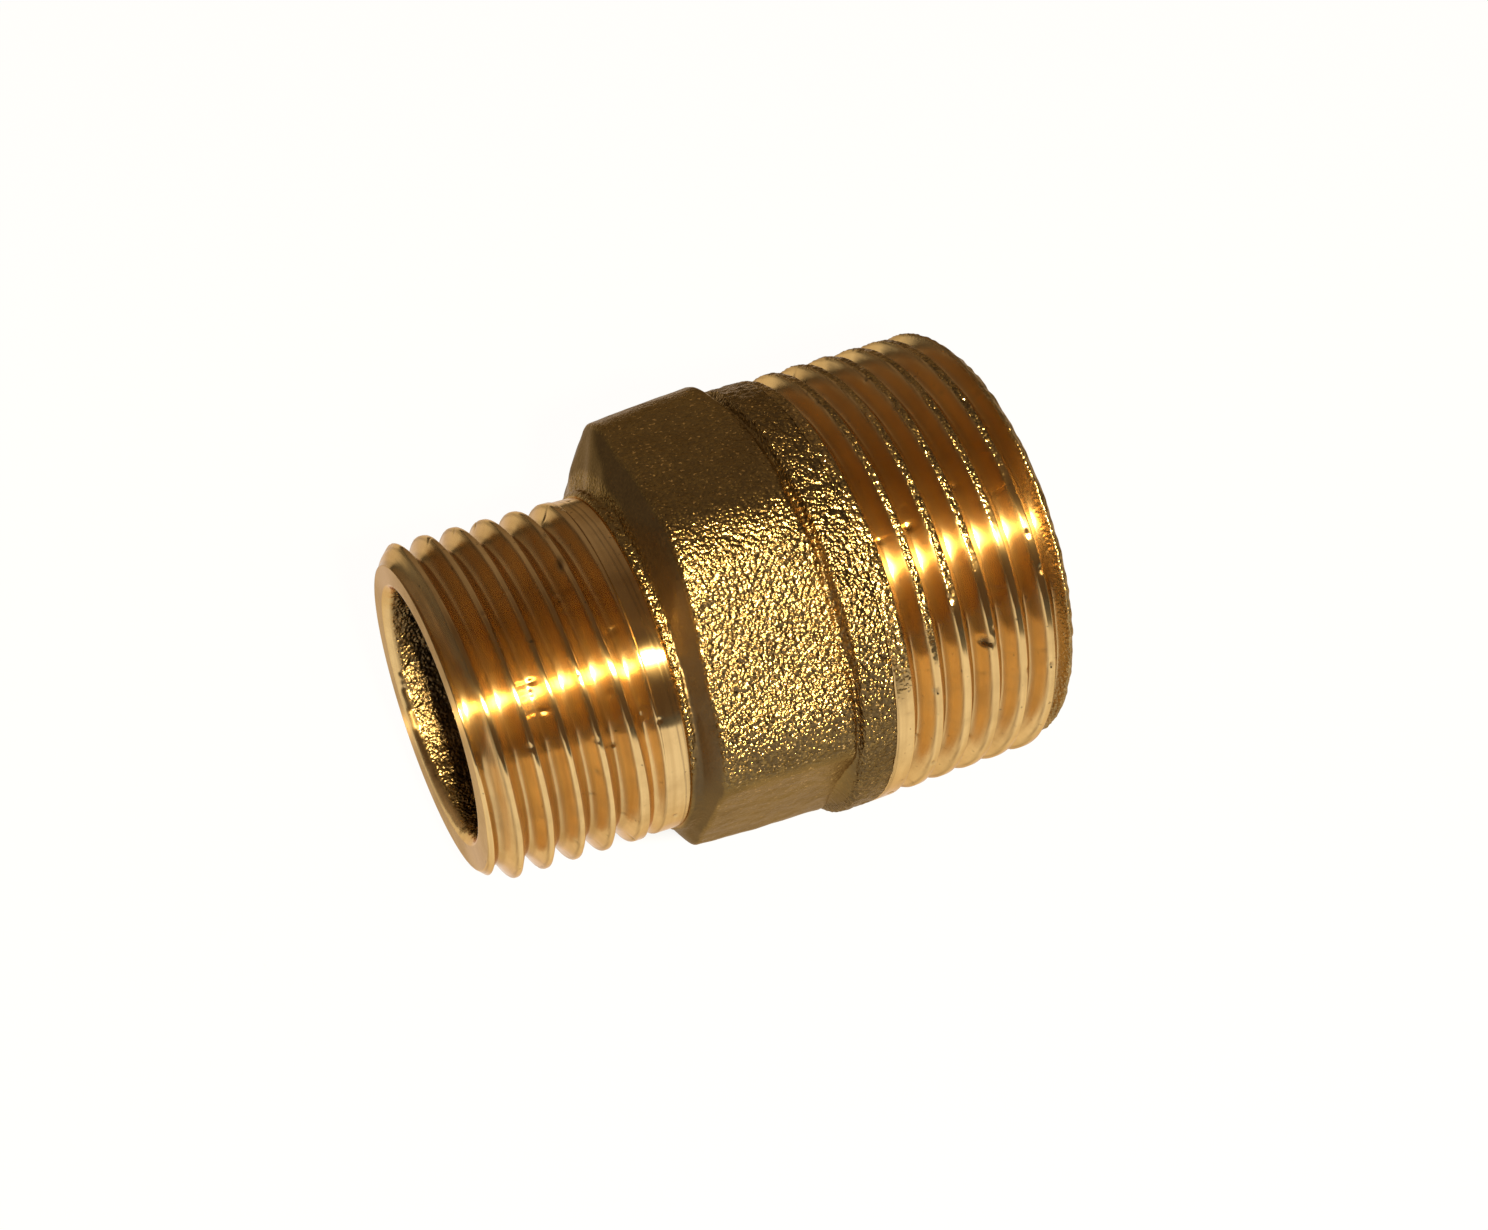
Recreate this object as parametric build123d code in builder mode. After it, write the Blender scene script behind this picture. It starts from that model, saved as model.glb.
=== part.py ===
from build123d import *
from math import atan, cos, degrees, radians, sin, tan
import os

# Reducing hex nipple: one brass forging, machined at both ends.
# Millimetres.  +X runs along the waterway from the small end to the large end,
# +Z points up, and two of the hex flats lie level, above and below the axis.
# The origin is on the axis, halfway along the nipple.

os.makedirs("parts", exist_ok=True)

# ---- driving dimensions -------------------------------------------------------
# stations along the axis, counted from the small end face
shank_end = 11.7          # end of the turned small end, start of the forged skin
ring_end = 12.25          # forged ring meets the cone of the shoulder
hex_end = 21.2            # hex runs out against the collar
collar_end = 23.3         # forged collar meets the large thread
overall_length = 35.0

# pipe thread, 14 to the inch, 55 degree flanks
pitch = 25.4 / 14
flank_angle = 55.0
small_crest_radius = 10.20     # G 1/2, crests under nominal
small_thread_depth = 1.08
small_crest_land = 0.36
small_shank_radius = 10.10     # plain turned length behind the last small thread
small_shank_start = 10.4
large_crest_radius = 13.15     # G 3/4
large_thread_depth = 1.10
large_crest_land = 0.46
small_groove_phase = 43.0      # angle about the axis at which a groove crosses groove_station
small_groove_station = -1.90
large_groove_phase = 43.0
large_groove_station = 24.45
large_seam_turn = 35.0         # keeps the blank's seam clear of the groove's two ends

# end chamfers
small_face_radius = 9.25
large_face_radius = 12.10
chamfer_angle = 45.0

# forged middle
ring_radius = 10.45
hex_flat_small = 11.90         # axis to flat at the shoulder
hex_flat_large = 12.35         # axis to flat at the collar: the forging draft
hex_corner_radius = 4.6
hex_corner_reach = 13.90       # where shoulder and chamfer run out, just past the corners
shoulder_end = 13.4            # front edge of the flats
shoulder_rise = 1.35           # axial length of the shoulder at the corners
shoulder_swell = 0.12          # how far shoulder and chamfer bow outward
hex_chamfer_length = 0.80      # chamfer that draws an arc on every flat
hex_chamfer_reach = 12.40
collar_radius = 13.25
collar_lead = 0.25

# waterway
small_bore_radius = 7.30
small_countersink_radius = 7.80
large_bore_radius = 10.00
large_countersink_radius = 10.50
bore_taper_start = 15.0
bore_taper_end = 22.5

middle = overall_length / 2


def at(station):
    """Axial position of a station counted from the small end face."""
    return station - middle


def turned(points, swell=0.0):
    """Solid of revolution about the axis; points are (station, radius).

    With a swell, the sloping sides bow outward by that much.
    """
    corners = [(at(s), r) for s, r in points]
    with BuildPart() as piece:
        with BuildSketch(Plane.XY):
            with BuildLine():
                for here, after in zip(corners, corners[1:] + corners[:1]):
                    if swell and here[0] != after[0] and here[1] != after[1]:
                        SagittaArc(here, after, swell)
                    else:
                        Line(here, after)
            make_face()
        revolve(axis=Axis.X)
    return piece.part


def waterway():
    """The stepped passage that runs through the whole nipple."""
    small_sink = small_countersink_radius - small_bore_radius
    large_sink = large_countersink_radius - large_bore_radius
    return turned([
        (-1.0, 0.0),
        (-1.0, small_countersink_radius + 1.0),
        (small_sink, small_bore_radius),
        (bore_taper_start, small_bore_radius),
        (bore_taper_end, large_bore_radius),
        (overall_length - large_sink, large_bore_radius),
        (overall_length + 1.0, large_countersink_radius + 1.0),
        (overall_length + 1.0, 0.0),
    ])


def groove_sweep(path, radius, depth, land):
    """Sweep one trapezoid thread groove along a helix that starts at local +X."""
    mouth = pitch - land
    root = mouth - 2 * depth * tan(radians(flank_angle / 2))
    over = 0.3
    wide = mouth + 2 * over * tan(radians(flank_angle / 2))
    start = Plane(origin=path @ 0, x_dir=(1, 0, 0), z_dir=path % 0)
    with BuildPart() as tool:
        with BuildSketch(start):
            with BuildLine():
                Polyline([(over, -wide / 2), (over, wide / 2),
                          (-depth, root / 2), (-depth, -root / 2)], close=True)
            make_face()
        sweep(path=path, is_frenet=True)
    return tool.part


def groove(station, phase, radius, depth, land, turns):
    """Right-hand thread groove; station is where it crosses the phase angle."""
    path = Helix(pitch=pitch, height=turns * pitch, radius=radius)
    tool = groove_sweep(path, radius, depth, land)
    return Plane.YZ.offset(at(station)) * (Rotation(0, 0, phase) * tool)


def runout(station, phase, radius, depth, land, leaving):
    """Half a turn in which the groove climbs out of the metal, or dives into it."""
    rise = pitch / 2
    slope = degrees(atan((depth + 0.05) / rise))
    if leaving:
        path = Helix(pitch=pitch, height=rise, radius=radius, cone_angle=slope)
    else:
        path = Helix(pitch=pitch, height=rise, radius=radius + depth + 0.05, cone_angle=-slope)
    tool = groove_sweep(path, radius, depth, land)
    return Plane.YZ.offset(at(station)) * (Rotation(0, 0, phase) * tool)


# ---- small male thread --------------------------------------------------------
small_turns = 6.2
with BuildPart() as small_male_thread:
    small_lead = (small_crest_radius - small_face_radius) / tan(radians(chamfer_angle))
    add(turned([
        (0.0, 0.0),
        (0.0, small_face_radius),
        (small_lead, small_crest_radius),
        (small_shank_start, small_crest_radius),
        (small_shank_start + 0.1, small_shank_radius),
        (shank_end, small_shank_radius),
        (shank_end, 0.0),
    ]))
    add(groove(small_groove_station, small_groove_phase, small_crest_radius,
               small_thread_depth, small_crest_land, small_turns), mode=Mode.SUBTRACT)
    add(runout(small_groove_station + small_turns * pitch,
               small_groove_phase + 360 * small_turns, small_crest_radius,
               small_thread_depth, small_crest_land, leaving=True), mode=Mode.SUBTRACT)
    add(waterway(), mode=Mode.SUBTRACT)
small_male_thread.part.label = "small_male_thread"
export_step(small_male_thread.part, "parts/small_male_thread.step")

# ---- forged hex body: rough ring, shoulder, hexagon and collar ----------------
with BuildPart() as hex_body:
    hex_length = hex_end - ring_end
    draft = atan((hex_flat_large - hex_flat_small) / hex_length)
    with BuildSketch(Plane.YZ.offset(at(ring_end))):
        Circle(2 * hex_flat_large)
    extrude(amount=hex_length)
    for flat in range(6):
        around = radians(30 + 60 * flat)
        outward = Vector(-sin(draft), cos(draft) * cos(around), cos(draft) * sin(around))
        foot = Vector(at(ring_end), hex_flat_small * cos(around), hex_flat_small * sin(around))
        split(bisect_by=Plane(origin=foot, z_dir=outward), keep=Keep.BOTTOM)
    corners = edges().filter_by(lambda edge: abs(edge.tangent_at(0.5).X) > 0.9)
    fillet(corners, hex_corner_radius)
    add(turned([
        (ring_end, 0.0),
        (ring_end, ring_radius),
        (ring_end + shoulder_rise, hex_corner_reach),
        (hex_end - hex_chamfer_length, hex_corner_reach),
        (hex_end, hex_chamfer_reach),
        (hex_end, 0.0),
    ], swell=shoulder_swell), mode=Mode.INTERSECT)
    front = hex_flat_small + (shoulder_end - ring_end) * tan(draft)
    lean = atan((front - ring_radius) / (shoulder_end - ring_end))
    for flat in range(6):
        around = radians(30 + 60 * flat)
        outward = Vector(-sin(lean), cos(lean) * cos(around), cos(lean) * sin(around))
        foot = Vector(at(ring_end), ring_radius * cos(around), ring_radius * sin(around))
        split(bisect_by=Plane(origin=foot, z_dir=outward), keep=Keep.BOTTOM)
    add(turned([
        (shank_end, 0.0),
        (shank_end, ring_radius),
        (ring_end, ring_radius),
        (ring_end, 0.0),
    ]))
    add(turned([
        (hex_end, 0.0),
        (hex_end, collar_radius - collar_lead),
        (hex_end + collar_lead, collar_radius),
        (collar_end, collar_radius),
        (collar_end, 0.0),
    ]))
    add(waterway(), mode=Mode.SUBTRACT)
hex_body.part.label = "hex_body"
export_step(hex_body.part, "parts/hex_body.step")

# ---- large male thread --------------------------------------------------------
large_turns = (overall_length - large_groove_station + 2 * pitch) / pitch
with BuildPart() as large_male_thread:
    large_lead = (large_crest_radius - large_face_radius) / tan(radians(chamfer_angle))
    add(turned([
        (collar_end, 0.0),
        (collar_end, large_crest_radius),
        (overall_length - large_lead, large_crest_radius),
        (overall_length, large_face_radius),
        (overall_length, 0.0),
    ]), rotation=(large_seam_turn, 0, 0))
    add(runout(large_groove_station - pitch / 2, large_groove_phase - 180, large_crest_radius,
               large_thread_depth, large_crest_land, leaving=False), mode=Mode.SUBTRACT)
    add(groove(large_groove_station, large_groove_phase, large_crest_radius,
               large_thread_depth, large_crest_land, large_turns), mode=Mode.SUBTRACT)
    add(waterway(), mode=Mode.SUBTRACT)
large_male_thread.part.label = "large_male_thread"
export_step(large_male_thread.part, "parts/large_male_thread.step")
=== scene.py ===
import math

import bpy
import numpy as np
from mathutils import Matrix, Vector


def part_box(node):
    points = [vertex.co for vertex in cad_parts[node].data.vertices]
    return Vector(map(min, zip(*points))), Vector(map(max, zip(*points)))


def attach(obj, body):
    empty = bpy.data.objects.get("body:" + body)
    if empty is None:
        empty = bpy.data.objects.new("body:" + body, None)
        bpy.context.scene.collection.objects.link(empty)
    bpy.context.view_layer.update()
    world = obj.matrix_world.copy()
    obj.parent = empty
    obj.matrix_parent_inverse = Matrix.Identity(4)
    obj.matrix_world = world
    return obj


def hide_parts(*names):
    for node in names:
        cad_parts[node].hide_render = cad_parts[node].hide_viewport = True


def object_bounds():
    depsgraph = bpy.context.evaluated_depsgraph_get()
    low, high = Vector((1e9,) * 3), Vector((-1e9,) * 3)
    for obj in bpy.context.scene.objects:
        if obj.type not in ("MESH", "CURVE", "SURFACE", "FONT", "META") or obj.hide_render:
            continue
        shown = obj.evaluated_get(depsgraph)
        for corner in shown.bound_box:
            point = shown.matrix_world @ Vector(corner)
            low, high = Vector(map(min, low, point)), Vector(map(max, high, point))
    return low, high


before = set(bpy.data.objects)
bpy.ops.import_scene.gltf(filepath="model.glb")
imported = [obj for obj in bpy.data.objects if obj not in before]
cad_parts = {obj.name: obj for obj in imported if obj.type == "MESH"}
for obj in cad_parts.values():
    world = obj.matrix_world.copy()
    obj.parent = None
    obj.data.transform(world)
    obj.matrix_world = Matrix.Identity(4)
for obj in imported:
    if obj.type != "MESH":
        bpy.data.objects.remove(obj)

cad_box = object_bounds()

# A brass reducing hex nipple.  Shapes are worked out in millimetres: a station is the
# distance from the small end face along +X, and a radius is measured from the axis.
MM = 0.001

# ---- sizes from the frame -------------------------------------------------------
SMALL_LOW, SMALL_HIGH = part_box("small_male_thread")
HEX_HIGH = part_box("hex_body")[1]
LARGE_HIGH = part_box("large_male_thread")[1]


def station_of(x):
    """Station in millimetres of a point x metres along the row frame."""
    return (x - SMALL_LOW.x) / MM


SHANK_END = station_of(SMALL_HIGH.x)
COLLAR_END = station_of(HEX_HIGH.x)
LENGTH = station_of(LARGE_HIGH.x)
SMALL_CREST = SMALL_HIGH.z / MM
LARGE_CREST = LARGE_HIGH.z / MM
COLLAR_RADIUS = HEX_HIGH.z / MM

# ---- shape ----------------------------------------------------------------------
TURN = 2 * math.pi
PITCH = 25.4 / 14
FLANK = math.tan(math.radians(27.5))
THREAD_PHASE = math.radians(43)      # angle at which both grooves cross their stations
CREST_ROUNDING = 0.09
ROOT_ROUNDING = 0.55

# start, stop and fade count turns of the groove from its station; the large groove
# runs out through the end face
SMALL_THREAD = {"crest": SMALL_CREST, "depth": 1.08, "land": 0.24, "station": -1.90,
                "start": -0.5, "stop": 6.2, "fade": 0.5}
LARGE_THREAD = {"crest": LARGE_CREST, "depth": 1.10, "land": 0.40, "station": 24.45,
                "start": 0.0, "stop": math.inf, "fade": 0.5}

STEP = 10.3                          # faint step halfway along the plain shank
SHANK_RADIUS = SMALL_CREST - 0.10
SMALL_FACE_RADIUS = 9.25
LARGE_FACE_RADIUS = 12.50
UNDER = 0.02                         # how far the turned skins lie inside the CAD's

RING_RADIUS = 10.45
RING_END = 12.25
SHOULDER_END = 13.4                  # front edge of the flats
SHOULDER_RISE = 1.20                 # at the corners
HEX_END = 21.2
FLAT_SMALL = 11.90
FLAT_LARGE = 12.35
FULLNESS = 0.5                       # how much the flats fall away towards the corners
CORNER_RADIUS = 4.6
CORNER_REACH = HEX_HIGH.y / MM
CHAMFER_REACH = 12.35
CHAMFER_LENGTH = 0.80
BORE = 7.30
BORE_LARGE = 10.0
COUNTERSINK = 0.5
# the end faces are darker and duller by this share: partly their duller finish, partly painted
# shade from the rims
FACE_DIRT_AND_SHADE = 0.40
TAPER_START = 15.0
TAPER_END = 22.5

# the forged middle isn't quite in line with the threads
OFF_SIDE = math.radians(48)          # the side it is off to
OFF_CENTRE = 0.45                    # how far the forged middle sits off the axis
SAG = 0.60                           # how far the small end leans the other way at its root
SHOULDER_LEAN = 0.45                 # how much sooner the shoulder starts on the low side

random = np.random.default_rng(14)


# ---- noise ----------------------------------------------------------------------
def gradient_noise(points, size, seed):
    """Smooth random field, about -1 to 1, whose lumps are `size` across."""
    table = np.random.default_rng(seed).permutation(256)
    table = np.concatenate([table, table])
    slopes = np.random.default_rng(seed + 1).normal(size=(256, 3))
    slopes /= np.linalg.norm(slopes, axis=1)[:, None]
    scaled = points / size
    cell = np.floor(scaled).astype(int)
    inside = scaled - cell
    cell &= 255
    fade = inside * inside * inside * (inside * (inside * 6 - 15) + 10)
    total = np.zeros(scaled.shape[:-1])
    for corner in range(8):
        step = np.array([corner & 1, corner >> 1 & 1, corner >> 2 & 1])
        at = (cell + step) & 255
        key = table[table[table[at[..., 0]] + at[..., 1]] + at[..., 2]]
        weight = np.prod(np.where(step, fade, 1 - fade), axis=-1)
        total += weight * np.sum(slopes[key] * (inside - step), axis=-1)
    return total * 1.6


def skin_noise(s, a, radius, size, seed):
    """Noise over the skin of a cylinder of about this radius."""
    return gradient_noise(np.stack([s, radius * np.cos(a), radius * np.sin(a)], -1), size, seed)


def smooth_min(a, b, k):
    """Minimum of two fields with the crease rounded over about k."""
    h = np.clip(0.5 + 0.5 * (b - a) / k, 0, 1)
    return b * (1 - h) + a * h - k * h * (1 - h)


def smooth_max(a, b, k):
    """Maximum of two fields, rounded in the same way."""
    return -smooth_min(-a, -b, k)


def ramp(x, low, high):
    """0 below low, 1 above high, and an even S between them."""
    t = np.clip((x - low) / (high - low), 0, 1)
    return t * t * (3 - 2 * t)


def apart(a, b):
    """Signed angle from b to a, by the short way round."""
    return np.mod(a - b + math.pi, TURN) - math.pi


# ---- radius, forged skin, dirt and painted shade of each zone over station s and angle a ---
def groove_depth(s, a, thread):
    """Depth of the helical groove, and the depth its flank would have if it ran on straight."""
    turns = (s - thread["station"]) / PITCH - (a - THREAD_PHASE) / TURN
    nearest = np.round(turns)
    off = np.abs(turns - nearest) * PITCH
    off = off + 0.030 * skin_noise(s, a, 3.0, 0.9, 31) + 0.010 * skin_noise(s, a, 2.0, 0.3, 32)
    along = nearest + (a - THREAD_PHASE) / TURN
    enter = np.clip((along - thread["start"] + thread["fade"]) / thread["fade"], 0, 1)
    leave = np.clip((thread["stop"] + thread["fade"] - along) / thread["fade"], 0, 1)
    full = thread["depth"] * np.minimum(enter, leave)
    mouth = (PITCH - thread["land"]) / 2 - (thread["depth"] - full) * FLANK
    wall = (mouth - off) / FLANK
    depth = smooth_min(smooth_max(wall, np.zeros_like(wall), CREST_ROUNDING), full, ROOT_ROUNDING)
    return np.where(full > 1e-6, np.clip(depth, 0, None), 0.0), wall


def mouth_shade_line(wall):
    """Thin line of painted shade just inside the mouth of a groove."""
    return np.exp(-((wall - 0.13) / 0.08) ** 2)


def dents(s, a, radius, places):
    """Depth of knocks and pits, each given as station, angle, length, width and depth."""
    total = np.zeros_like(s)
    for station, angle, length, width, depth in places:
        far = ((s - station) / length) ** 2 + (apart(a, angle) * radius / width) ** 2
        total += depth * np.exp(-far)
    return total


def scatter(count, low, high, sizes, depths):
    """Random knocks between two stations, all round."""
    return [(random.uniform(low, high), random.uniform(0, TURN), random.uniform(*sizes),
             random.uniform(*sizes), random.uniform(*depths)) for _ in range(count)]


SMALL_KNOCKS = scatter(90, 0.5, 11.4, (0.08, 0.20), (0.02, 0.09)) + [
    (3.2, math.radians(122), 0.10, 0.55, 0.12), (7.2, math.radians(110), 0.12, 0.35, 0.15),
    (8.2, math.radians(103), 0.18, 0.40, 0.15), (10.9, math.radians(205), 0.13, 0.13, 0.10)]
LARGE_KNOCKS = scatter(110, 24.0, 34.6, (0.07, 0.20), (0.05, 0.18)) + [
    (29.3, math.radians(165), 0.20, 0.22, 0.22), (33.4, math.radians(151), 0.25, 0.20, 0.20),
    (23.45, math.radians(94), 0.06, 1.5, -0.10)]         # burr where the thread starts


def darker_side(s, a):
    """Share by which the turned ends are darker along one side, the upper back."""
    return ramp(np.cos(a - math.radians(55)) + 0.15 * skin_noise(s, a, 12, 4.0, 17), 0.55, 0.95)


def lean(s, a):
    """Shift of the small end, which was cut a little out of line with the large one."""
    return -SAG * np.clip(0.2 + 0.8 * s / SHANK_END, 0, 1) * np.cos(a - OFF_SIDE)


def groove_shade(depth, wall):
    """Painted shade at the root of a groove and along its mouth."""
    return 0.3 * ramp(depth, 0.75, 0.95) + 0.5 * mouth_shade_line(wall)


# Each zone's outer skin gives its radius, and three shares from 0 to 1: forged skin, dirt and
# painted shade, and how coarse the forging's grain is.
def small_outer(s, a):
    depth, wall = groove_depth(s, a, SMALL_THREAD)
    radius = smooth_min(SMALL_CREST - UNDER - depth, SMALL_FACE_RADIUS + s, 0.08)
    shank = SHANK_RADIUS + 0.02 * skin_noise(s, a, 10, 1.5, 5)
    radius = np.where(s > STEP, np.minimum(radius, shank), radius)
    knocks = dents(s, a, SMALL_CREST, SMALL_KNOCKS)
    dirt_and_shade = knocks * 5 + groove_shade(depth, wall) + 0.25 * darker_side(s, a)
    return radius - knocks + lean(s, a), np.zeros_like(s), np.clip(dirt_and_shade, 0, 1), np.ones_like(s)


def hex_radius(a, flat):
    """Radius of a hexagon with round corners and slightly full flats, level above and below."""
    turn = np.mod(a, math.pi / 3) - math.pi / 6
    plane = flat / np.cos(turn) - FULLNESS * turn**2
    centre = (flat - CORNER_RADIUS) / math.cos(math.pi / 6)
    from_corner = math.pi / 6 - np.abs(turn)
    across = centre * np.sin(from_corner)
    arc = centre * np.cos(from_corner) + np.sqrt(np.clip(CORNER_RADIUS**2 - across**2, 0, None))
    on_arc = np.abs(turn) > np.arctan2((flat - CORNER_RADIUS) * math.tan(math.pi / 6), flat)
    return np.where(on_arc, arc - FULLNESS * turn**2, plane)


def flat_distance(s):
    """Axis to flat, which grows towards the collar with the forging draft."""
    return FLAT_SMALL + (FLAT_LARGE - FLAT_SMALL) * (s - RING_END) / (HEX_END - RING_END)


def hex_outer(s, a):
    at_shoulder, at_collar = s < 15, s > 20.6
    # the same point seen from the forging's own centre
    around = a + OFF_CENTRE / FLAT_SMALL * np.sin(a - OFF_SIDE)
    shift = OFF_CENTRE * np.cos(a - OFF_SIDE)
    wander = 0.10 * skin_noise(s, a, 12, 2.2, 9)         # keeps the edges from running straight

    # hexagon, uneven by the die
    full = hex_radius(around, flat_distance(s)) + shift
    uneven = 0.06 * skin_noise(s, a, 12, 3.0, 7) + 0.03 * skin_noise(s, a, 12, 0.9, 8)
    body = full - 0.05 + uneven

    # shoulder: a facet below every flat, and a cone that blends them at the corners
    rise = s - RING_END + wander - SHOULDER_LEAN * np.cos(a - OFF_SIDE)
    slope = (flat_distance(SHOULDER_END) - RING_RADIUS) / (SHOULDER_END - RING_END)
    facet = hex_radius(around, RING_RADIUS + rise * slope) + shift
    body = smooth_min(body, facet, 0.16)
    cone = RING_RADIUS + rise * (CORNER_REACH - RING_RADIUS) / SHOULDER_RISE + shift
    body = smooth_min(body, cone, 0.25)

    # chamfer at the far end
    fall = (CORNER_REACH - CHAMFER_REACH) / CHAMFER_LENGTH
    body = smooth_min(body, CHAMFER_REACH + (HEX_END + wander - s) * fall, 0.25)

    # ring in front, in line with the small end
    ring = RING_RADIUS - 0.06 + 0.05 * skin_noise(s, a, 10.5, 0.45, 10)
    ring = np.minimum(ring, RING_RADIUS - 0.22 + 1.2 * (s - SHANK_END))
    body = smooth_max(body, np.where(at_shoulder, ring + lean(s, a), 0), 0.15)

    # collar behind, with a crevice where it meets the hexagon
    crevice = np.exp(-((s - HEX_END - wander + 0.10) / 0.16) ** 2)
    body = body - 0.09 * crevice * (body < COLLAR_RADIUS - 0.2)
    collar = COLLAR_RADIUS - 0.14 + 0.06 * skin_noise(s, a, 13.2, 0.5, 11)
    collar = collar - 2.4 * np.clip(HEX_END + 0.15 + wander - s, 0, None)
    body = smooth_max(body, np.where(at_collar, collar, 0), 0.12)
    edge = COLLAR_RADIUS - 0.05 + 0.6 * (COLLAR_END - s)
    body = np.where(s > HEX_END + 0.1, np.minimum(body, edge), body)

    # the shoulder and the flat low on the near side are smooth and get painted shade; the other
    # flats are coarse in places and smooth in others
    shoulder = ramp(rise, -0.15, 0.10) * ramp(full - body, 0.12, 0.30) * at_shoulder
    rough = ramp(skin_noise(s, a, 12, 14.0, 16) + 0.9 * np.cos(a - math.radians(150)), -0.1, 0.8)
    lower = ramp(a, math.radians(182), math.radians(187)) * (1 - ramp(a, 4.0, 4.3))
    grain = np.clip((0.45 + 0.55 * rough) * (1 - 0.8 * lower), 0, 1) * (1 - 0.9 * shoulder)
    grain = np.where(s > HEX_END, 1.0, grain)
    # painted shade on the shoulder, on the low near flat and in the crevice; the smooth patches
    # are darker too, partly as their own tone and partly as painted shade away from the flat that
    # faces the lamp
    dirt_and_shade = np.clip(crevice * 0.3 + shoulder + 0.35 * lower + 0.2 * (1 - rough), 0, 1)
    widest = CORNER_REACH / np.maximum(np.abs(np.cos(a)), 0.1)    # no wider than the CAD
    return np.minimum(body, widest), np.ones_like(s), dirt_and_shade, grain


def large_outer(s, a):
    depth, wall = groove_depth(s, a, LARGE_THREAD)
    # forging skin is left on the crests, most of all near the hexagon and on top
    reach = math.radians(172) - (s - COLLAR_END) * math.radians(5.2)
    side = np.abs(apart(a, math.radians(60)))
    left = ramp(reach - math.radians(60) - side, -0.15, 0.15)
    skin = left * ramp(-wall, -0.06, 0.02)
    radius = LARGE_CREST - UNDER - depth - skin * (0.05 + 0.07 * skin_noise(s, a, 13, 0.35, 12))
    ragged = 0.12 * skin_noise(s, a, 13, 0.6, 13)
    radius = smooth_min(radius, LARGE_FACE_RADIUS + (LENGTH - s) + ragged, 0.10)
    knocks = dents(s, a, LARGE_CREST, LARGE_KNOCKS)
    rim = ramp(s, LENGTH - 0.9, LENGTH - 0.3)
    dirt_and_shade = knocks * 5 + groove_shade(depth, wall) + rim * 0.3 + 0.15 * darker_side(s, a)
    return radius - knocks, np.clip(skin + rim * 0.7, 0, 1), np.clip(dirt_and_shade, 0, 1), np.ones_like(s)


def inner(s, a):
    """Radius of the waterway: cast inside, with a countersink turned in each mouth."""
    taper = np.clip((s - TAPER_START) / (TAPER_END - TAPER_START), 0, 1)
    cast = BORE + 0.10 + (BORE_LARGE - BORE) * taper
    cast = cast + 0.10 * skin_noise(s, a, 7.5, 0.6, 14) + 0.10 * skin_noise(s, a, 7.5, 2.0, 15)
    turned = np.maximum(BORE - s, BORE_LARGE - (LENGTH - s)) + COUNTERSINK
    turned = np.where((s < 3) | (s > LENGTH - 3), turned, 0)
    return np.maximum(cast, turned), np.where(cast > turned, 1.0, 0.0)


# ---- mesh -----------------------------------------------------------------------
def closed_sleeve(name, start, stop, outer, columns, step, bore_step):
    """A closed tube wall: outer skin, far face, bore and near face, in one grid."""
    angles = np.arange(columns) * TURN / columns
    outer_s = np.linspace(start, stop, int(round((stop - start) / step)) + 1)
    bore_s = np.linspace(stop, start, int(round((stop - start) / bore_step)) + 1)
    s, a = np.meshgrid(outer_s, angles, indexing="ij")
    radius, skin, dirt_and_shade, grain = outer(s, a)
    inside_s, inside_a = np.meshgrid(bore_s, angles, indexing="ij")
    bore, cast = inner(inside_s, inside_a)
    # painted shade: the bore is darker further in
    dark = 0.5 + 0.45 * ramp(np.minimum(inside_s, LENGTH - inside_s), 1.0, 4.0)

    def face(station, first, last):
        """Four rings across an end face, from the first radius to the last."""
        share = np.array([0.06, 0.3, 0.6, 0.94])[:, None]
        flat = np.zeros((4, columns))
        return (flat + station, first * (1 - share) + last * share,
                flat, flat + FACE_DIRT_AND_SHADE, flat)

    far = face(stop, radius[-1], bore[0])
    near = face(start, bore[-1], radius[0])
    fields = []
    for outside, at_far, inside, at_near in zip(
            (s, radius, skin, dirt_and_shade, grain), far,
            (inside_s, bore, cast, cast * dark, cast), near):
        fields.append(np.concatenate([outside, at_far, inside, at_near]))
    s, radius, skin, dirt_and_shade, grain = fields
    rows = len(s)
    a = np.broadcast_to(angles, s.shape)
    row, column = np.arange(rows)[:, None], np.arange(columns)[None, :]
    next_row, next_column = (row + 1) % rows, (column + 1) % columns
    quads = np.stack([row * columns + column, row * columns + next_column,
                      next_row * columns + next_column, next_row * columns + column], -1)
    x = s + SMALL_LOW.x / MM
    points = np.stack([x, radius * np.cos(a), radius * np.sin(a)], -1).reshape(-1, 3) * MM
    return make_object(name, points, quads.reshape(-1, 4),
                       {"skin": skin, "dirt_and_shade": dirt_and_shade, "grain": grain})


def make_object(name, points, quads, attributes):
    """Smooth-shaded mesh of quads with one number per point for each attribute."""
    mesh = bpy.data.meshes.new(name)
    mesh.vertices.add(len(points))
    mesh.vertices.foreach_set("co", points.ravel())
    mesh.loops.add(quads.size)
    mesh.loops.foreach_set("vertex_index", quads.ravel().astype(np.int32))
    mesh.polygons.add(len(quads))
    mesh.polygons.foreach_set("loop_start", np.arange(0, quads.size, 4, dtype=np.int32))
    mesh.polygons.foreach_set("use_smooth", np.ones(len(quads), bool))
    mesh.update(calc_edges=True)
    for label, values in attributes.items():
        layer = mesh.attributes.new(label, "FLOAT", "POINT")
        layer.data.foreach_set("value", values.astype(np.float32).ravel())
    mesh.validate()
    obj = bpy.data.objects.new(name, mesh)
    bpy.context.scene.collection.objects.link(obj)
    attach(obj, "root")
    return obj


# ---- material -------------------------------------------------------------------
TURNED_BUMP = 0.006                  # millimetres of relief left by the cutting tool


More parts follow.
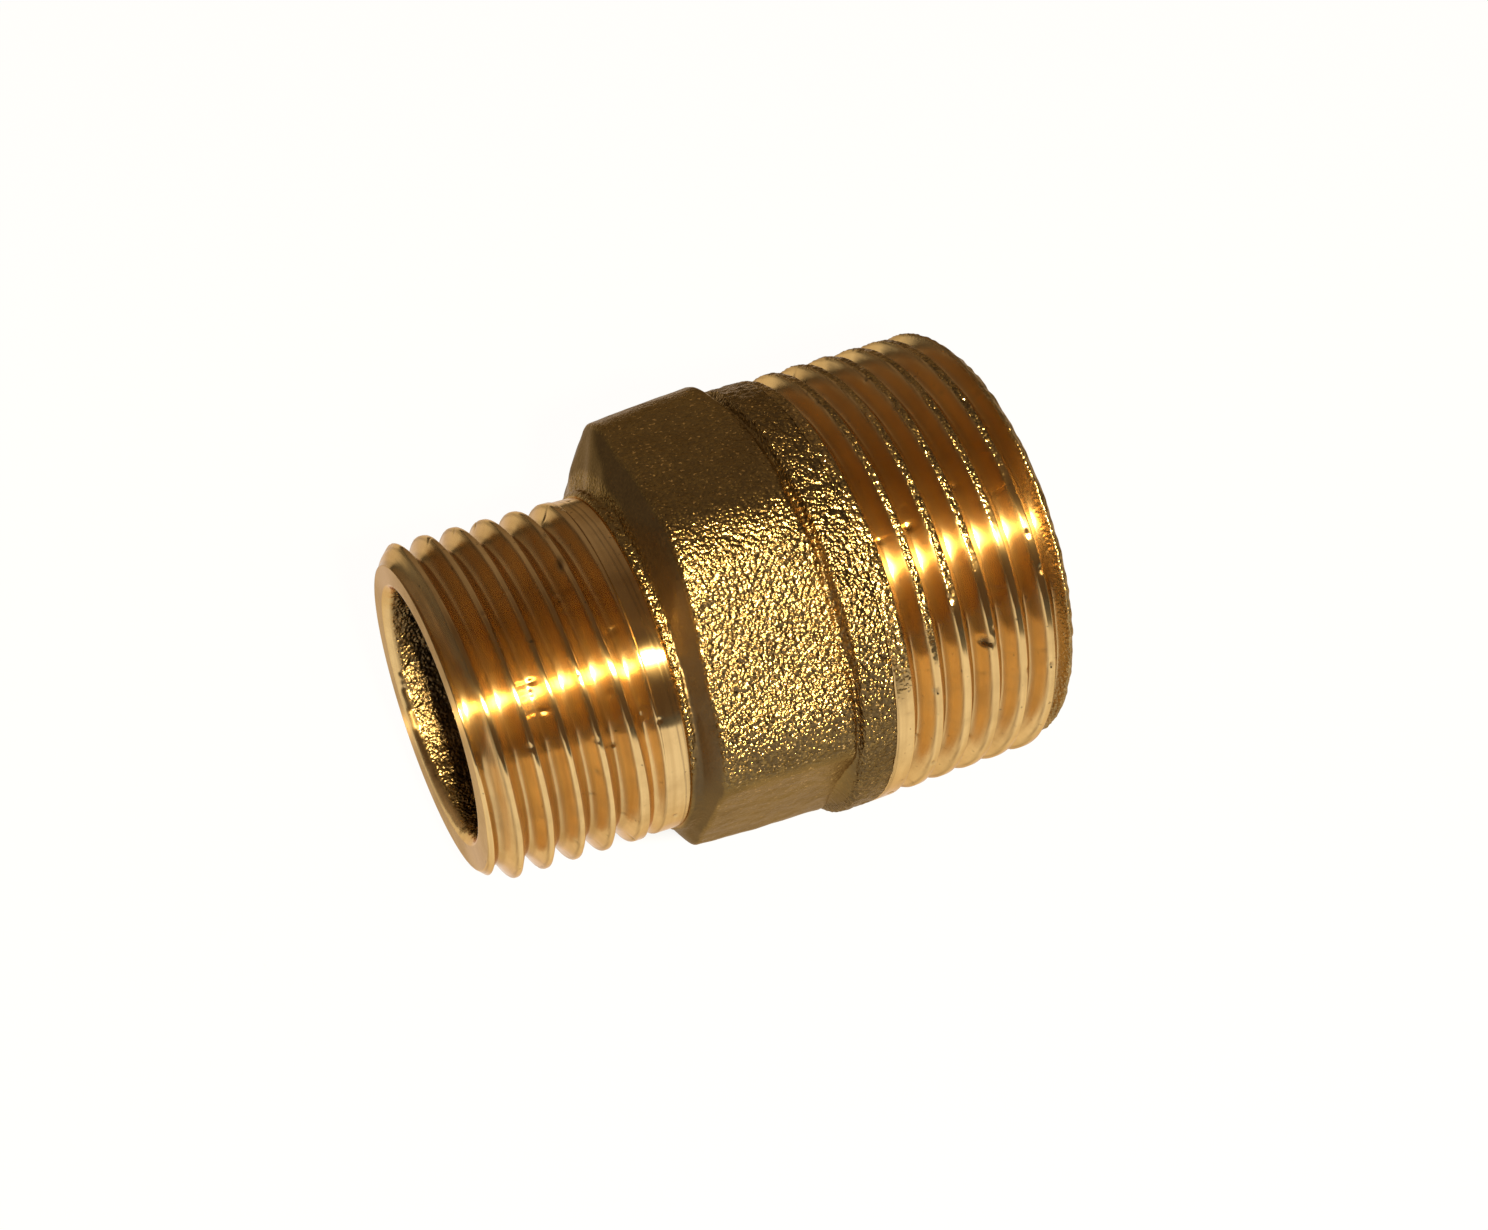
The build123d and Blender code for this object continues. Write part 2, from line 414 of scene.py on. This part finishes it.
class Graph:
    """Short way to write a node material."""

    def __init__(self, name):
        self.material = bpy.data.materials.new(name)
        self.material.use_nodes = True
        self.tree = self.material.node_tree
        self.shader = self.tree.nodes["Principled BSDF"]

    def put(self, socket, value):
        """Link an output to a socket, or set the socket's value."""
        if hasattr(value, "is_output"):
            self.tree.links.new(value, socket)
        else:
            socket.default_value = value

    def node(self, kind, inputs=None, **settings):
        node = self.tree.nodes.new("ShaderNode" + kind)
        for key, value in settings.items():
            setattr(node, key, value)
        for key, value in (inputs or {}).items():
            self.put(node.inputs[key], value)
        return node

    def math(self, operation, a, b=0.0, c=0.0):
        return self.node("Math", {0: a, 1: b, 2: c}, operation=operation).outputs[0]

    def mix(self, share, a, b):
        """Mix of two colours."""
        node = self.node("Mix", data_type="RGBA")
        for socket, value in ((node.inputs[0], share), (node.inputs[6], a), (node.inputs[7], b)):
            self.put(socket, value)
        return node.outputs[2]

    def blend(self, share, a, b):
        """Mix of two numbers."""
        node = self.node("Mix", data_type="FLOAT")
        for socket, value in ((node.inputs[0], share), (node.inputs[2], a), (node.inputs[3], b)):
            self.put(socket, value)
        return node.outputs[0]

    def span(self, value, low, high, to_low=0.0, to_high=1.0):
        return self.node("MapRange", {0: value, 1: low, 2: high, 3: to_low, 4: to_high}).outputs[0]

    def noise(self, vector, scale, detail=2.0, roughness=0.5):
        return self.node("TexNoise", {"Vector": vector, "Scale": scale, "Detail": detail,
                                      "Roughness": roughness}).outputs[0]

    def stretch(self, vector, by):
        return self.node("VectorMath", {0: vector, 1: by}, operation="MULTIPLY").outputs[0]


def rgb(r, g, b):
    return (r, g, b, 1.0)


# the dark colour below also serves as painted shade wherever the dirt and shade share is high
CREVICE = rgb(0.075, 0.053, 0.032)   # dirt, and the gaps between grains


def brass(name, bright, tarnish, forged, grain):
    """Turned brass where the skin attribute is 0, as-forged brass where it is 1.

    Grain is the height of the forging's grain in millimetres.
    """
    g = Graph(name)
    place = g.stretch(g.node("TexCoord").outputs["Object"], (1000, 1000, 1000))
    skin = g.node("Attribute", attribute_name="skin").outputs["Fac"]
    dirt_and_shade = g.node("Attribute", attribute_name="dirt_and_shade").outputs["Fac"]
    coarseness = g.node("Attribute", attribute_name="grain").outputs["Fac"]

    # turned: fine rings left by the tool, cloudy tarnish, a few specks
    rings = g.noise(g.stretch(place, (9.0, 0.22, 0.22)), 1.0, 3.0, 0.6)
    broad = g.noise(g.stretch(place, (3.0, 0.10, 0.10)), 1.0, 2.0, 0.5)
    cloud = g.noise(place, 0.45, 4.0, 0.6)
    specks = g.span(g.noise(place, 2.6, 2.0, 0.5), 0.70, 0.76)
    turned_height = g.math("MULTIPLY_ADD", rings, TURNED_BUMP,
                           g.math("MULTIPLY", broad, TURNED_BUMP * 1.5))
    turned_colour = g.mix(g.span(cloud, 0.42, 0.72, 0.0, 0.55), bright, tarnish)
    turned_colour = g.mix(g.math("MULTIPLY", specks, 0.7), turned_colour, CREVICE)
    turned_colour = g.mix(g.span(broad, 0.40, 0.72, 0.0, 0.45), turned_colour, tarnish)
    turned_rough = g.span(cloud, 0.3, 0.7, 0.15, 0.21)

    # forged: packed grains with dark lines between them
    warp = g.node("TexNoise", {"Vector": place, "Scale": 2.2, "Detail": 1.0}).outputs[1]
    bent = g.node("VectorMath", {0: place, 1: g.stretch(warp, (0.25, 0.25, 0.25))},
                  operation="ADD").outputs[0]
    cells = g.node("TexVoronoi", {"Vector": bent, "Scale": 4.6, "Smoothness": 0.55},
                   feature="SMOOTH_F1").outputs["Distance"]
    fine = g.noise(place, 7.0, 2.0, 0.6)
    coarse = g.noise(place, 1.1, 3.0, 0.6)
    pile = g.math("MULTIPLY_ADD", cells, -grain, g.math("MULTIPLY", fine, grain * 0.45))
    forged_height = g.math("MULTIPLY", g.math("MULTIPLY_ADD", coarse, grain * 1.2, pile),
                           coarseness)
    gaps = g.math("MULTIPLY", g.span(cells, 0.22, 0.62), coarseness)
    forged_colour = g.mix(g.math("MULTIPLY", gaps, 0.75), forged, CREVICE)
    forged_colour = g.mix(g.span(cloud, 0.42, 0.70, 0.0, 0.55), forged_colour, tarnish)
    # painted glints: specks of the bright colour that stand in for sparkle on the grains
    painted_glints = g.span(g.noise(place, 4.5, 1.0, 0.5), 0.66, 0.72)
    forged_colour = g.mix(g.math("MULTIPLY", painted_glints, g.math("SUBTRACT", 0.9, dirt_and_shade)),
                          forged_colour, bright)
    forged_rough = g.span(fine, 0.3, 0.7, 0.20, 0.34)

    colour = g.mix(skin, turned_colour, forged_colour)
    # dirt and painted shade from the attribute darken the colour and make it rougher
    colour = g.mix(g.math("MULTIPLY", dirt_and_shade, 0.85), colour, CREVICE)
    rough = g.blend(skin, turned_rough, forged_rough)
    rough = g.math("ADD", rough, g.math("MULTIPLY", dirt_and_shade, 0.15))
    height = g.blend(skin, turned_height, forged_height)
    bump = g.node("Bump", {"Strength": 1.0, "Distance": MM, "Height": height})
    g.put(g.shader.inputs["Base Color"], colour)
    g.put(g.shader.inputs["Metallic"], 1.0)
    g.put(g.shader.inputs["Specular Tint"], rgb(0.80, 0.62, 0.45))
    g.put(g.shader.inputs["Roughness"], rough)
    g.put(g.shader.inputs["Normal"], bump.outputs[0])
    # the tool's rings spread a highlight along the axis
    around = g.node("Tangent", direction_type="RADIAL", axis="X")
    g.put(g.shader.inputs["Anisotropic"], g.span(skin, 0, 1, 1, 0))
    g.put(g.shader.inputs["Anisotropic Rotation"], 0.25)
    g.put(g.shader.inputs["Tangent"], around.outputs[0])
    return g.material


# the two turned ends share their tarnish and forging skin
END_TARNISH = rgb(0.52, 0.33, 0.13)
END_SKIN = rgb(0.32, 0.21, 0.075)
END_GRAIN = 0.090
small_brass = brass("turned_brass", rgb(0.76, 0.52, 0.23), END_TARNISH, END_SKIN, END_GRAIN)
hex_brass = brass("forged_brass", rgb(0.78, 0.50, 0.19), rgb(0.12, 0.075, 0.030),
                  rgb(0.265, 0.172, 0.060), 0.125)
large_brass = brass("threaded_brass", rgb(0.76, 0.51, 0.215), END_TARNISH, END_SKIN, END_GRAIN)

for name, start, stop, outer, columns, step, bore_step, material, node, slot in (
        ("small_thread", 0, SHANK_END, small_outer, 520, 0.06, 0.30,
         small_brass, "small_male_thread", "turned_brass"),
        ("forged_hex", SHANK_END, COLLAR_END, hex_outer, 720, 0.10, 0.60,
         hex_brass, "hex_body", "forged_brass"),
        ("large_thread", COLLAR_END, LENGTH, large_outer, 520, 0.065, 0.60,
         large_brass, "large_male_thread", "large_thread_brass")):
    obj = closed_sleeve(name, start, stop, outer, columns, step, bore_step)
    obj.data.materials.append(material)
    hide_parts(node)

# ---- floor: white paper that glows with painted light in a wedge that widens away from the camera ---
FLOOR_SIZE = 2.0
AWAY = (0.421, 0.907, 0)             # level, and straight away from the camera
ACROSS = (0.907, -0.421, 0)
floor_level = cad_box[0].z
bpy.ops.mesh.primitive_plane_add(size=FLOOR_SIZE, location=(0, 0, floor_level))
floor = bpy.context.object
floor.name = "floor"
paper = Graph("white_paper")


def along(vector, direction):
    """Distance along a direction, in metres."""
    return paper.node("VectorMath", {0: vector, 1: direction},
                      operation="DOT_PRODUCT").outputs["Value"]


on_floor = paper.node("TexCoord").outputs["Object"]
behind = along(on_floor, AWAY)
width = paper.math("MULTIPLY_ADD", paper.math("MAXIMUM", behind, -0.03), -0.20,
                   paper.math("ABSOLUTE", along(on_floor, ACROSS)))
# painted shadow: a dark patch in the paper's glow where the nipple lies, an oval of these half
# sizes
painted_shadow_oval = paper.node("VectorMath", {0: on_floor, 1: (0.003, 0.006, 0)}, operation="SUBTRACT")
painted_shadow_oval = paper.stretch(painted_shadow_oval.outputs[0], (1 / 0.0165, 1 / 0.0105, 0))
painted_shadow_oval = paper.node("VectorMath", {0: painted_shadow_oval}, operation="LENGTH").outputs["Value"]
# painted light: the paper glows fully inside the wedge and at a tenth of that outside it
painted_light = paper.math("MULTIPLY", paper.span(width, 0.062, 0.075, 1, 0),
                   paper.span(behind, 0.135, 0.155, 1, 0))
painted_light = paper.math("MULTIPLY", painted_light, paper.span(painted_shadow_oval, 0.3, 1.0, 0.15, 1))
paper.put(paper.shader.inputs["Base Color"], rgb(0.01, 0.01, 0.01))
paper.put(paper.shader.inputs["Roughness"], 0.9)
paper.put(paper.shader.inputs["Specular IOR Level"], 0.0)
paper.put(paper.shader.inputs["Emission Color"], rgb(1.0, 0.985, 0.96))
paper.put(paper.shader.inputs["Emission Strength"], paper.span(painted_light, 0.0, 1.0, 0.10, 1.0))
floor.data.materials.append(paper.material)

# ---- camera ---------------------------------------------------------------------
camera_data = bpy.data.cameras.new("camera")
camera_data.lens = 60.25
camera_data.sensor_width = 36
camera = bpy.data.objects.new("camera", camera_data)
bpy.context.scene.collection.objects.link(camera)
camera.location = (-0.04138, -0.10501, 0.09490)
camera.rotation_euler = [math.radians(v) for v in (50.036, 2.561, -24.749)]
bpy.context.scene.camera = camera

# ---- light: one small lamp by the camera, in a dim brown room that is paler at the back --
light = bpy.data.lights.new("key", "AREA")
light.shape = "DISK"
light.size = 0.009
light.energy = 1.4
light.color = (1.0, 0.82, 0.48)
lamp = bpy.data.objects.new("key", light)
bpy.context.scene.collection.objects.link(lamp)
lamp.location = (-0.0294, -0.1100, 0.0890)
lamp.rotation_euler = (-lamp.location).to_track_quat("-Z", "Y").to_euler()

world = bpy.data.worlds.new("room")
world.use_nodes = True
sky = world.node_tree
facing = sky.nodes.new("ShaderNodeTexCoord").outputs["Generated"]
back = sky.nodes.new("ShaderNodeVectorMath")
back.operation = "DOT_PRODUCT"
back.inputs[1].default_value = (0, 1, 0)
sky.links.new(facing, back.inputs[0])
shade = sky.nodes.new("ShaderNodeValToRGB")
front_end, back_end = shade.color_ramp.elements
front_end.position, front_end.color = 0.05, rgb(0.115, 0.078, 0.050)
back_end.position, back_end.color = 0.75, rgb(0.33, 0.26, 0.20)
sky.links.new(back.outputs["Value"], shade.inputs[0])
sky.links.new(shade.outputs[0], sky.nodes["Background"].inputs["Color"])
bpy.context.scene.world = world
bpy.context.scene.view_settings.view_transform = "Standard"
